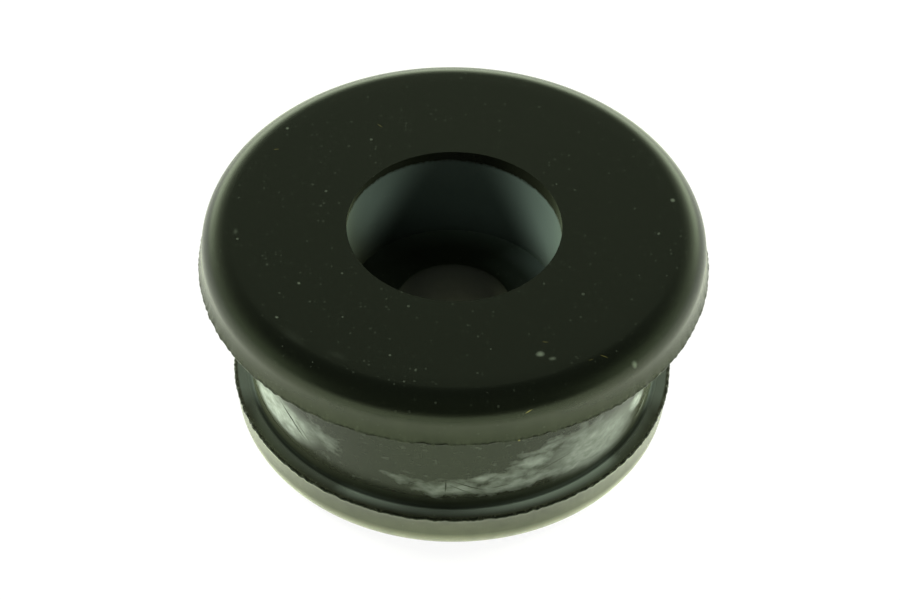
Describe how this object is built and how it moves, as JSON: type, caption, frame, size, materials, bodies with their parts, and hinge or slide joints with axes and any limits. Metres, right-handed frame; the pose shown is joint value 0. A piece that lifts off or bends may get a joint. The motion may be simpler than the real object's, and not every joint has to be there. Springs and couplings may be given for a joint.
{
  "type": "rubber grommet",
  "caption": "Round moulded rubber grommet with a wide rounded head, a deep groove that grips a panel hole, a smaller push-through foot and a stepped central bore.",
  "frame": {"origin": "centre of the foot's flat base, on the surface that the grommet stands on", "axes": "+Z along the bore axis, from the foot to the head; the part is turned about it, so X and Y are any two square directions across it"},
  "size_m": [0.03, 0.03, 0.0143],
  "materials": {
    "rubber": "satin moulded black rubber with pale bloom in the groove and a ragged parting lip on both flanges"
  },
  "bodies": {
    "root": {"grommet": "rubber"}
  },
  "joints": []
}
